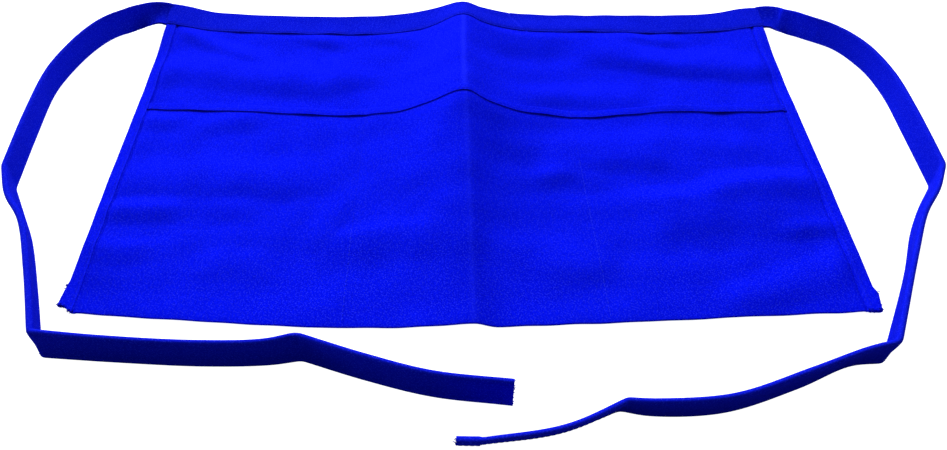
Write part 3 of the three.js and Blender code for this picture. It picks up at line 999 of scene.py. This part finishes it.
def softened(route):
    """Evenly spaced rows of a route, with its sharp bends slightly rounded and its two ends kept."""
    run = run_along(route[:, :3])
    places = spread(0.0, run[-1], TIE_STEP)
    even = np.stack([np.interp(places, run, column) for column in route.T], axis=1)
    edge = len(BEND_SOFTENING) // 2
    padded = np.pad(even, ((edge, edge), (0, 0)), mode="reflect", reflect_type="odd")
    return np.stack([np.convolve(column, BEND_SOFTENING, mode="valid") for column in padded.T], axis=1)


def tie_route(rows, sign):
    """Closely spaced rows along a tie, smooth between its bends, from the waistband's end on."""
    end, far_end = lay(sign * HALF_WIDTH, [BAND_NEAR, APRON_LENGTH], 0)
    band_middle = end[2] + CLOTH / 2 + LAYER
    tilt = math.degrees(math.asin((far_end[2] - end[2]) / TAPE_WIDTH)) - 90
    starts = [(end[0] + sign * past, end[1], band_middle, tilt, 0) for past in (0.0, TIE_START)]
    rows = np.array(starts + rows, float)
    bends = [0, *np.flatnonzero(rows[:, TIE_COLUMNS.index("bend")]), len(rows) - 1]
    shares = np.arange(STEPS_PER_ROW) / STEPS_PER_ROW
    route = []
    for low, high in zip(bends, bends[1:]):
        stretch = rows[low : high + 1]
        padded = np.vstack([2 * stretch[0] - stretch[1], stretch, 2 * stretch[-1] - stretch[-2]])
        route += [curve_between(*padded[i : i + 4], shares) for i in range(len(stretch) - 1)]
    return softened(np.vstack([*route, rows[-1:]]))


print("tie rows:", len(LEFT_TIE), "left and", len(RIGHT_TIE), "right")


# %% Ties
TIE_ENDS = {-1: {"opens": 0.1, "over": (16.0, 0.0)}, 1: {"opens": 0.55, "over": (13.2, 11.6)}}
TIE_ROLL = {"radius": 1.05, "from": 0.4, "opens": (20.0, 60.0)}
TIE_WRAP_STEP = 2.2
# A painted highlight: a pale line along the tie's rolled upper edge.
TIE_TOP_HIGHLIGHT = 0.12
CUP_SHARE = 0.55
# A shallow arc rises over its chord by the root of this share of its spare length.
ARC_RISE = 3 / 8
CUP_NARROWS = {"by": 6.2, "at_lean": -38.0, "reach": 48.0, "ends": (45.0, 60.0)}


def cupped(width, share):
    """How far a tape bulges behind the straight line between its edges, where they are close together."""
    spare = np.maximum(0.0, TAPE_WIDTH / width - 1)
    return CUP_SHARE * width * np.sqrt(ARC_RISE * spare) * (1 - (2 * share - 1) ** 2)


def edge_distance(lean, run):
    """Straight distance between a tape's two edges: its width, less where it cups while it turns up."""
    turning = np.maximum(0.0, 1 - ((lean - CUP_NARROWS["at_lean"]) / CUP_NARROWS["reach"]) ** 2)
    return TAPE_WIDTH - CUP_NARROWS["by"] * turning * (1 - smoothstep(run, *CUP_NARROWS["ends"]))


def tie_sections(rows, sign):
    """For every section of a tie: its foot, the way up the tape, the way out of its front, and its sizes."""
    route = tie_route(rows, sign)
    foot = route[:, :3].copy()
    along = np.gradient(foot, axis=0)
    along[:, 2] = 0.0
    along[0] = (sign, 0.0, 0.0)
    along /= np.linalg.norm(along, axis=1)[:, None]
    lean_degrees = route[:, TIE_COLUMNS.index("lean")]
    lean = np.radians(lean_degrees)[:, None]
    upright = np.array([0.0, 0.0, 1.0])
    to_apron = sign * np.cross(along, upright)
    rise = np.cos(lean) * upright + np.sin(lean) * to_apron
    front = sign * np.cross(along, rise)
    run = run_along(foot[:, :2])
    half_gap = LAYER + (TIE_WALLS - LAYER) * smoothstep(run, 0, TIE_SETTLES)
    end = TIE_ENDS[sign]
    half_gap = half_gap + end["opens"] * smoothstep(run, *(run[-1] - np.array(end["over"])))
    resting = np.abs(front[:, 2]) * (half_gap + CLOTH / 2)
    foot[:, 2] = np.maximum(foot[:, 2], resting)
    width = edge_distance(lean_degrees, run)
    sizes = {"width": width, "half_gap": half_gap, "run": run}
    return {"foot": foot, "rise": rise, "front": front, **sizes}


def tie(name, rows, sign):
    """One tie: tape folded along its rolled upper edge, standing on its two lower edges."""
    sections = tie_sections(rows, sign)
    share, angle = wrap_rows(0.0, TAPE_WIDTH, TIE_WRAP_STEP)
    half_gap = sections["half_gap"][:, None]
    width = sections["width"][:, None]
    roll = TIE_ROLL["radius"] * smoothstep(sections["run"], *TIE_ROLL["opens"])[:, None]
    gap = half_gap + roll * smoothstep(share, TIE_ROLL["from"], 1.0)
    up = share * (width - half_gap - roll - CLOTH / 2) + gap * np.sin(angle)
    out = -gap * np.cos(angle) - cupped(width, share)
    points = sections["foot"][:, None, :] + up[..., None] * sections["rise"][:, None, :]
    points = points + out[..., None] * sections["front"][:, None, :]
    points[..., 2] = np.maximum(points[..., 2], CLOTH / 2)
    around = run_along(np.stack([up[-1], out[-1]], axis=1))
    # Painted highlight: a pale line along the tie's rolled upper edge.
    wear_and_highlight = np.broadcast_to(TIE_TOP_HIGHLIGHT * np.sin(angle), out.shape)
    piece = cloth(name, around, sections["run"], points.reshape(-1, 3), tape_twill, wear_and_highlight)
    return piece, sections, around[-1]


tie_left, left_sections, tie_cut = tie("tie_tape_left", LEFT_TIE, -1)
tie_right, right_sections, _ = tie("tie_tape_right", RIGHT_TIE, 1)
left_length, right_length = left_sections["run"][-1], right_sections["run"][-1]
print(f"ties {left_length:.0f} and {right_length:.0f} mm long, cut {tie_cut:.0f} mm wide")

# %% [markdown]
# ## Stitches
#
# The seams are lockstitch in blue thread. A stitch is a short plump length of thread that dips into the
# cloth at both ends, so one low sphere, drawn out long, is enough for it. All the stitches of a seam are
# copies of that one shape, set along a line on the cloth and joined into one mesh. The pocket dividers
# are pale from rubbing low down.

# %% Stitch maker
STITCH = {"pitch": 3.3, "length": 2.6, "width": 0.42, "height": 0.36}
STITCH_BALL = {"segments": 6, "ring_count": 4, "radius": 0.5}
STITCH_RISE = 0.05
BALL_DECIMALS = 5
LINE_STEP = 0.8
BESIDE = 0.4


def from_lowest(face):
    """The same face, begun at its lowest vertex."""
    start = face.index(min(face))
    return face[start:] + face[:start]


def stitch_shape():
    """Points and faces of one stitch, one unit long, wide and high, from a low sphere."""
    bpy.ops.object.select_all(action="DESELECT")
    bpy.ops.mesh.primitive_uv_sphere_add(**STITCH_BALL)
    ball = bpy.context.active_object
    points = np.array([vertex.co for vertex in ball.data.vertices]).round(BALL_DECIMALS)
    # Blender numbers a sphere's vertices differently from run to run, so they are sorted by place.
    order = np.lexsort(points.T)
    rank = np.argsort(order)
    faces = sorted(from_lowest(rank[list(face.vertices)].tolist()) for face in ball.data.polygons)
    bpy.ops.object.delete()
    return points[order], faces


STITCH_POINTS, STITCH_FACES = stitch_shape()


def unit(vectors):
    """The same directions, one long."""
    return vectors / np.linalg.norm(vectors, axis=-1, keepdims=True)


def seam(surface, line, pitch=STITCH["pitch"]):
    """Evenly spaced places along a line of (x, y) points on a surface, with their directions and normals."""
    corners = np.array(line, float)
    run = run_along(corners)
    fine = spread(0.0, run[-1], LINE_STEP)
    x, y = (np.interp(fine, run, column) for column in corners.T)
    points = surface(x, y)
    along = unit(np.gradient(points, axis=0))
    flat_along = np.gradient(np.stack([x, y]), axis=1)
    flat_along = flat_along / np.linalg.norm(flat_along, axis=0)
    aside = surface(x - BESIDE * flat_along[1], y + BESIDE * flat_along[0]) - points
    normal = unit(np.cross(along, aside))
    return every(points, along, normal, pitch)


def every(points, along, normal, pitch):
    """The rows of a dense line that are a pitch apart."""
    run = run_along(points)
    places = np.arange(pitch / 2, run[-1], pitch)
    rows = np.searchsorted(run, places)
    return points[rows], along[rows], normal[rows]


def mesh_piece(name, points, faces, material):
    """A smooth piece from points in apron millimetres and faces."""
    mesh = bpy.data.meshes.new(name)
    mesh.from_pydata(to_frame(points.reshape(-1, 3)).tolist(), [], faces)
    mesh.shade_smooth()
    mesh.materials.append(material)
    piece = bpy.data.objects.new(name, mesh)
    bpy.context.collection.objects.link(piece)
    return piece


def stitches(name, seams, material):
    """One mesh of stitches for several seams."""
    points, along, normal = (np.concatenate(parts) for parts in zip(*seams))
    side = np.cross(normal, along)
    long_way = STITCH_POINTS[None, :, 2:3] * STITCH["length"] * along[:, None, :]
    wide_way = STITCH_POINTS[None, :, 0:1] * STITCH["width"] * side[:, None, :]
    high_way = (STITCH_POINTS[None, :, 1:2] * STITCH["height"] + STITCH_RISE) * normal[:, None, :]
    placed = points[:, None, :] + long_way + wide_way + high_way
    bases = range(0, len(points) * len(STITCH_POINTS), len(STITCH_POINTS))
    faces = [[base + corner for corner in face] for base in bases for face in STITCH_FACES]
    print(f"{name}: {len(points)} stitches, {len(faces)} faces")
    return mesh_piece(name, placed, faces, material)


# %% Seams of the apron
HEM_INSET = 1.8
BAND_INSET = 2.0
BINDING_INSET = 1.7
TACK = {"from_y": 184.5, "to_y": 189.8, "pitch": 1.5, "apart": 0.7}
DIVIDER_FOOT = 2.0
SEAM_ENDS = {"hem": 2, "band": 1, "binding": 1}
TOP_OF_POCKET = CLOTH + LAYER


def on_pocket(x, y):
    """The outer surface of the pocket front."""
    return lay(x, y, TOP_OF_POCKET + LAYER * seat_share(x, y) + pocket_loose(x, y))


def on_hem(x, y):
    """The outer surface of the turned hem at the pocket mouth."""
    raised = TOP_OF_POCKET + LAYER + LAYER * seat_share(x, y)
    return lay(x, y, raised + pocket_loose(x, y) + lifted(x, HEM_PUCKERS))


def on_band(x, y):
    """The upper surface of the waistband."""
    pressed = EDGE_PRESS * sewn_edge(BAND_NEAR, y)
    return lay(x, y, CLOTH + 2 * LAYER - pressed + band_puckers(x, y))


def on_binding(x, y):
    """The upper surface of a side binding."""
    pressed = EDGE_PRESS * sewn_edge(BINDING_INNER, np.abs(x))
    return lay(x, y, CLOTH + LAYER * (layers_bound(y) + 1) - pressed)


def divider_seams(side):
    """A divider from the bottom fold to the hem in two lengths, the lower one pale from rubbing, and its
    tack.
    """
    heights = (DIVIDER_FOOT, DIVIDERS[side]["pale_below"], POCKET_DEPTH - MOUTH_HEM - CLOTH)
    corners = [(float(divider_x(side, np.array(y))), y) for y in heights]
    pale = seam(on_pocket, corners[:2])
    blue = [seam(on_pocket, corners[1:])]
    for offset in (-TACK["apart"] / 2, TACK["apart"] / 2):
        x = DIVIDERS[side]["top"] + offset
        blue.append(seam(on_hem, [(x, TACK["from_y"]), (x, TACK["to_y"])], TACK["pitch"]))
    return pale, blue


def cross_seam(surface, y, half_length):
    """A seam straight across the apron."""
    return seam(surface, [(-half_length, y), (half_length, y)])


def binding_seam(sign):
    """The seam along a side binding, from the bottom fold to the waistband."""
    x = sign * (BINDING_INNER + BINDING_INSET)
    return seam(on_binding, [(x, SEAM_ENDS["binding"]), (x, BAND_NEAR - SEAM_ENDS["binding"])])


left_pale, left_blue = divider_seams("left")
right_pale, right_blue = divider_seams("right")
divider_rubbed = stitches("divider_stitches_rubbed", [left_pale, right_pale], pale_thread)
divider_thread = stitches("divider_stitches", left_blue + right_blue, blue_thread)
hem_seam = cross_seam(on_hem, POCKET_DEPTH - MOUTH_HEM + HEM_INSET, BINDING_INNER - SEAM_ENDS["hem"])
band_seam = cross_seam(on_band, BAND_NEAR + BAND_INSET, HALF_WIDTH - SEAM_ENDS["band"])
binding_seams = [binding_seam(-1), binding_seam(1)]
hem_thread = stitches("hem_stitches", [hem_seam], blue_thread)
band_thread = stitches("waistband_stitches", [band_seam], blue_thread)
binding_thread = stitches("binding_stitches", binding_seams, blue_thread)

# %% Seams of the ties
TIE_INSET = 2.4


def tie_seams(sections):
    """The seam along the open edge of a tie, on its front and on its back."""
    share = TIE_INSET / sections["width"][:, None]
    middle = sections["foot"] + TIE_INSET * sections["rise"]
    middle = middle - cupped(sections["width"][:, None], share) * sections["front"]
    wall = (sections["half_gap"] + CLOTH / 2)[:, None] * sections["front"]
    along = unit(np.gradient(middle, axis=0))
    seams = []
    for side in (1, -1):
        points, normal = middle + side * wall, unit(side * sections["front"])
        seams.append(every(points, along, normal, STITCH["pitch"]))
    return seams


tie_left_thread = stitches("tie_left_stitches", tie_seams(left_sections), blue_thread)
tie_right_thread = stitches("tie_right_stitches", tie_seams(right_sections), blue_thread)

# %% [markdown]
# ## Frayed ends
#
# The ends of the bindings and the ties are raw, so yarns have come loose there. A loose yarn is a thin
# tube along a short wandering path. Each one starts inside the cut edge and leans a different way.

# %% Fray maker
YARN_SIDES = 5
YARN_POINTS = 5
YARN_RADIUS = 0.22
YARN_LOWEST = {"middle": YARN_RADIUS + 0.05, "side": 0.02}
# Hardly any yarn runs this way, so every tube can be squared off it.
SLANTED = (0.31, 0.2, 0.93)
frayed_yarn = thread("frayed_yarn", (0.002, 0.006, 0.42))


def yarn_paths(roots, outwards, lengths, wander, seed):
    """Short wandering paths that start at the roots and head outwards."""
    dice = np.random.default_rng(seed)
    count = len(roots)
    share = np.linspace(0.0, 1.0, YARN_POINTS)[None, :, None]
    bend = dice.normal(0.0, wander, (count, 1, 3))
    drift = dice.normal(0.0, wander, (count, 1, 3))
    path = roots[:, None, :] + lengths[:, None, None] * share * (outwards[:, None, :] + bend + drift * share)
    path[..., 2] = np.maximum(path[..., 2], YARN_LOWEST["middle"])
    return path


def yarns(name, paths, material):
    """One mesh of thin tubes along the paths."""
    along = unit(np.gradient(paths, axis=1))
    across = unit(np.cross(along, SLANTED))
    over = np.cross(along, across)
    turn = np.linspace(0, 2 * math.pi, YARN_SIDES, endpoint=False)[None, None, :, None]
    round_about = np.cos(turn) * across[:, :, None, :] + np.sin(turn) * over[:, :, None, :]
    rings = paths[:, :, None, :] + YARN_RADIUS * round_about
    rings[..., 2] = np.maximum(rings[..., 2], YARN_LOWEST["side"])
    faces = []
    for number in range(len(paths)):
        base = number * YARN_POINTS * YARN_SIDES
        for ring in range(YARN_POINTS - 1):
            low, high = base + ring * YARN_SIDES, base + (ring + 1) * YARN_SIDES
            for side in range(YARN_SIDES):
                after = (side + 1) % YARN_SIDES
                faces.append([low + side, low + after, high + after, high + side])
        last = base + (YARN_POINTS - 1) * YARN_SIDES
        faces.append([base + side for side in reversed(range(YARN_SIDES))])
        faces.append([last + side for side in range(YARN_SIDES)])
    print(f"{name}: {len(paths)} loose yarns, {len(faces)} faces")
    return mesh_piece(name, rings, faces, material)


# %% Fray of the bindings
END_YARNS = {"count": 70, "inner": 1.0, "outer": 0.5, "y": 0.2, "level": (0.6, 3.6), "length": (0.5, 1.5)}
END_HEADING = {"out": (0.25, 0.3), "back": -0.9, "up": -0.25, "wander": 0.28}
TUFT_YARNS = {"inside": 0.8, "level": (0.8, 3.2), "length": (0.6, 1.0)}
TUFT_HEADING = {"back": (0.2, 0.5), "up": -0.15, "wander": 0.3}


def end_yarns(sign, dice, seed):
    """Loose yarns along a binding's bottom end."""
    count = END_YARNS["count"]
    outer = HALF_WIDTH + LOOSE_END[sign]["out"][0] - END_YARNS["outer"]
    x = dice.uniform(BINDING_INNER - END_YARNS["inner"], outer, count)
    hang = LOOSE_END[sign]["hang"] * np.clip((x - BINDING_INNER) / BINDING_WIDTH, 0, 1)
    roots = lay(sign * x, END_YARNS["y"] - hang, dice.uniform(*END_YARNS["level"], count))
    slant, scatter = END_HEADING["out"]
    heading = [np.full(count, END_HEADING["back"]), np.full(count, END_HEADING["up"])]
    outwards = np.stack([dice.normal(sign * slant, scatter, count), *heading], axis=1)
    lengths = dice.uniform(*END_YARNS["length"], count)
    return yarn_paths(roots, outwards, lengths, END_HEADING["wander"], seed)


def tuft_yarns(sign, tuft, dice, seed):
    """A tuft of loose yarns that sticks out of a binding's folded side."""
    count = tuft["count"]
    y = dice.normal(tuft["y"], tuft["spread"], count)
    side = np.full(count, sign * (HALF_WIDTH - TUFT_YARNS["inside"]))
    roots = lay(side, y, dice.uniform(*TUFT_YARNS["level"], count))
    back = dice.normal(*TUFT_HEADING["back"], count)
    outwards = np.stack([np.full(count, float(sign)), back, np.full(count, TUFT_HEADING["up"])], axis=1)
    lengths = dice.uniform(*TUFT_YARNS["length"], count) * tuft["length"]
    return yarn_paths(roots, outwards, lengths, TUFT_HEADING["wander"], seed)


def binding_fray(name, sign, tufts, seed):
    """All the loose yarns of one binding."""
    dice = np.random.default_rng(seed)
    paths = [end_yarns(sign, dice, seed + 1)]
    for number, tuft in enumerate(tufts):
        paths.append(tuft_yarns(sign, tuft, dice, seed + 2 + number))
    return yarns(name, np.concatenate(paths), frayed_yarn)


LEFT_TUFTS = [{"y": 16.0, "spread": 0.7, "count": 26, "length": 1.9}]
RIGHT_TUFTS = [
    {"y": 12.5, "spread": 0.6, "count": 14, "length": 2.4},
    {"y": 4.0, "spread": 2.2, "count": 20, "length": 1.0},
]
binding_left_fray = binding_fray("binding_fray_left", -1, LEFT_TUFTS, 21)
binding_right_fray = binding_fray("binding_fray_right", 1, RIGHT_TUFTS, 41)


# %% Fray of the ties
TIE_YARNS = {"low": 0.4, "top": 1.0, "inside": 0.4, "shortest": 0.7, "scatter": 0.15, "wander": 0.2}
END_ROWS = 4


def tie_fray(name, sections, count, longest, seed):
    """Loose yarns along the cut end of a tie."""
    dice = np.random.default_rng(seed)
    foot, rise, front = (sections[key][-1] for key in ("foot", "rise", "front"))
    along = unit(foot - sections["foot"][-END_ROWS])
    wall = dice.choice([-1.0, 1.0], count)[:, None] * sections["half_gap"][-1]
    height = dice.uniform(TIE_YARNS["low"], TAPE_WIDTH - TIE_YARNS["top"], count)[:, None]
    roots = foot + height * rise + wall * front - TIE_YARNS["inside"] * along
    outwards = along + dice.normal(0.0, TIE_YARNS["scatter"], (count, 3))
    lengths = dice.uniform(TIE_YARNS["shortest"], longest, count)
    return yarns(name, yarn_paths(roots, outwards, lengths, TIE_YARNS["wander"], seed + 1), frayed_yarn)


tie_left_fray = tie_fray("tie_fray_left", left_sections, 16, 0.9, 61)
tie_right_fray = tie_fray("tie_fray_right", right_sections, 30, 1.2, 81)

# %% [markdown]
# ## Attaching the pieces
#
# Each cloth piece moves with the apron's one body, stands for a solid of the frame, which it hides, and
# says how large its flat cut was. The stitches and the loose yarns belong to the cloth they are in.

# %% Attaching the pieces
CUTS = [
    (panel, "apron_panel", "panel_twill", (2 * PANEL_EDGE, PANEL_ALONG[-1]), "folded", "light_table"),
    (binding_left, "side_binding_left", "binding_twill", (binding_cut, BAND_NEAR), "folded", "apron_cloth"),
    (binding_right, "side_binding_right", "binding_twill", (binding_cut, BAND_NEAR), "folded", "apron_cloth"),
    (band, "waistband", "tape_twill", (band_cut, 2 * HALF_WIDTH), "folded", "apron_cloth"),
    (tie_left, "tie_left", "tape_twill", (tie_cut, left_length), "laid", "light_table"),
    (tie_right, "tie_right", "tape_twill", (tie_cut, right_length), "laid", "light_table"),
]
SEWN_IN = {
    "apron_cloth": [divider_thread, divider_rubbed, hem_thread],
    "binding_strip_left": [binding_thread, binding_left_fray],
    "binding_strip_right": [binding_right_fray],
    "waistband_tape": [band_thread],
    "tie_tape_left": [tie_left_thread, tie_left_fray],
    "tie_tape_right": [tie_right_thread, tie_right_fray],
}
for piece, node, slot, cut, held, under in CUTS:
    extras = SEWN_IN[piece.name]
    for part in (piece, *extras):
        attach(part, "root")
    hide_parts(node)
    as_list(extras)
    print(f"{piece.name} stands for {node}, cut {cut[0]:.0f} by {cut[1]:.0f} mm, with {len(extras)} pieces")
